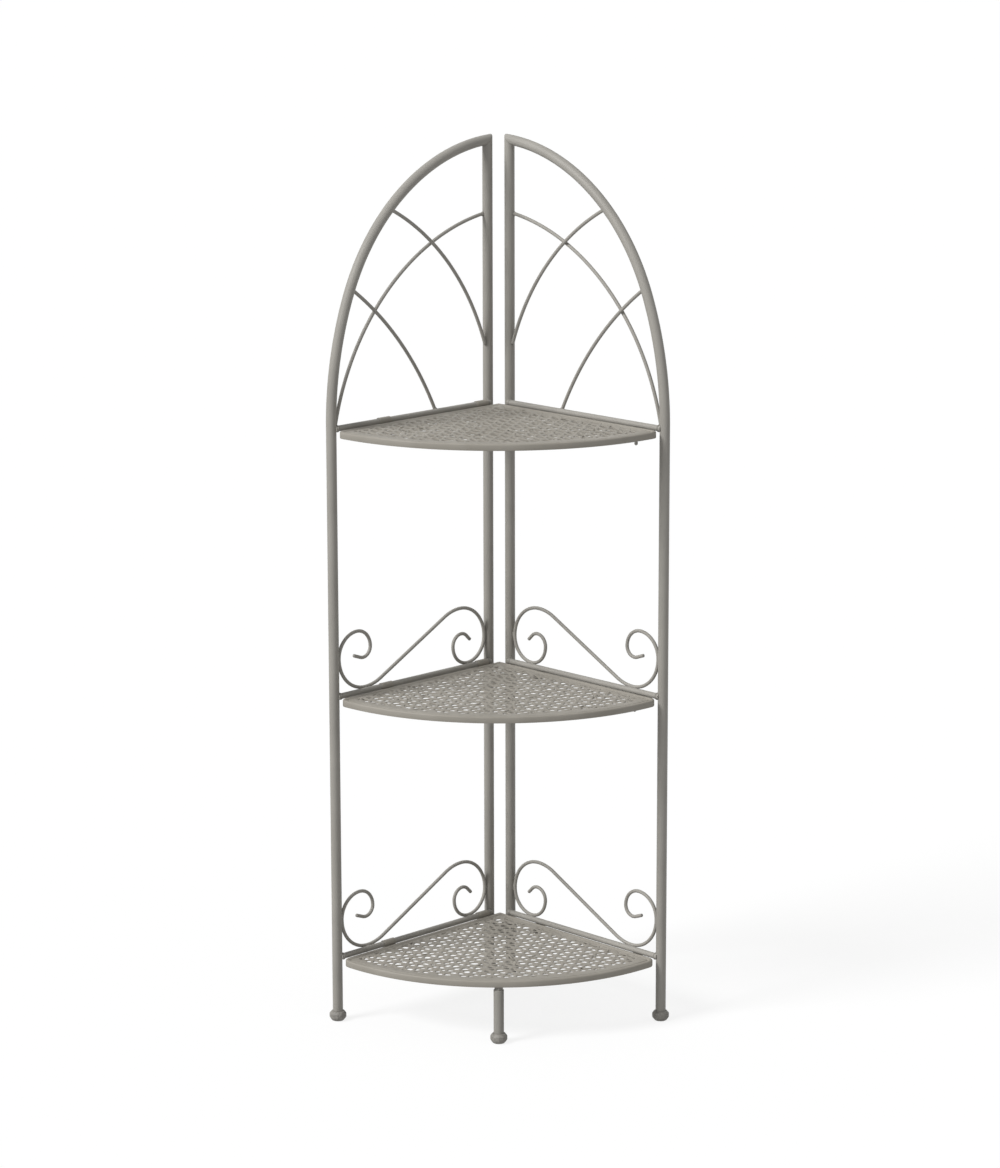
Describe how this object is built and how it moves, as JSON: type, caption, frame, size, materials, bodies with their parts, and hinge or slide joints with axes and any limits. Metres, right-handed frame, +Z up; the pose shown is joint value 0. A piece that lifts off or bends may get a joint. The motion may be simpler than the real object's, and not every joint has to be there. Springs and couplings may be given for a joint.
{
  "type": "corner shelf",
  "caption": "Folding corner shelf of painted steel tube and wire: arched side frames joined at the back, lift-up pierced quarter shelves and a screw-in front leg.",
  "frame": {"origin": "on the floor, at the centre of the object's footprint box", "axes": "+Z up, +X to the right seen from the front, +Y to the back corner; the front faces -Y"},
  "size_m": [0.4326, 0.3, 1.11],
  "materials": {
    "frame_paint": "satin warm grey paint on steel tube, rod and wire",
    "shelf_paint": "satin warm grey paint on pierced sheet steel",
    "foot_caps": "satin warm grey cast caps",
    "bare_steel": "plain zinc-plated hardware"
  },
  "bodies": {
    "frames": {"left_leg_arch": "frame_paint", "left_back_upright": "frame_paint", "left_bottom_rail": "frame_paint", "left_middle_rail": "frame_paint", "left_top_rail": "frame_paint", "left_inner_wire": "frame_paint", "left_long_wire": "frame_paint", "left_side_wire": "frame_paint", "left_bottom_scroll": "frame_paint", "left_middle_scroll": "frame_paint", "left_side_foot": "foot_caps", "left_back_foot": "foot_caps", "right_leg_arch": "frame_paint", "right_back_upright": "frame_paint", "right_bottom_rail": "frame_paint", "right_middle_rail": "frame_paint", "right_top_rail": "frame_paint", "right_inner_wire": "frame_paint", "right_long_wire": "frame_paint", "right_side_wire": "frame_paint", "right_bottom_scroll": "frame_paint", "right_middle_scroll": "frame_paint", "right_side_foot": "foot_caps", "right_back_foot": "foot_caps", "bottom_hinge_link": "frame_paint", "middle_hinge_link": "frame_paint", "top_hinge_link": "frame_paint", "bottom_lock_keeper": "frame_paint", "bottom_rest_tab": "frame_paint", "middle_lock_keeper": "frame_paint", "middle_rest_tab": "frame_paint", "top_lock_keeper": "frame_paint", "top_rest_tab": "frame_paint"},
    "bottom_shelf_leaf": {"bottom_shelf": "shelf_paint", "bottom_hinge_sleeves": "frame_paint", "bottom_lock_pin": "frame_paint", "front_leg_weld_nut": "bare_steel", "front_leg_stud": "bare_steel", "front_leg_plug": "bare_steel", "front_leg_tube": "frame_paint", "front_leg_foot": "foot_caps"},
    "middle_shelf_leaf": {"middle_shelf": "shelf_paint", "middle_hinge_sleeves": "frame_paint", "middle_lock_pin": "frame_paint"},
    "top_shelf_leaf": {"top_shelf": "shelf_paint", "top_hinge_sleeves": "frame_paint", "top_lock_pin": "frame_paint"}
  },
  "joints": [
    {"name": "bottom_shelf_lift", "type": "hinge", "parent": "frames", "child": "bottom_shelf_leaf", "pos_m": [-0.01071, 0.13646, 0.085], "axis": [-0.7071, -0.7071, 0], "range_deg": [0, 90]},
    {"name": "middle_shelf_lift", "type": "hinge", "parent": "frames", "child": "middle_shelf_leaf", "pos_m": [-0.01071, 0.13646, 0.426], "axis": [-0.7071, -0.7071, 0], "range_deg": [0, 90]},
    {"name": "top_shelf_lift", "type": "hinge", "parent": "frames", "child": "top_shelf_leaf", "pos_m": [-0.01071, 0.13646, 0.767], "axis": [-0.7071, -0.7071, 0], "range_deg": [0, 90]}
  ]
}
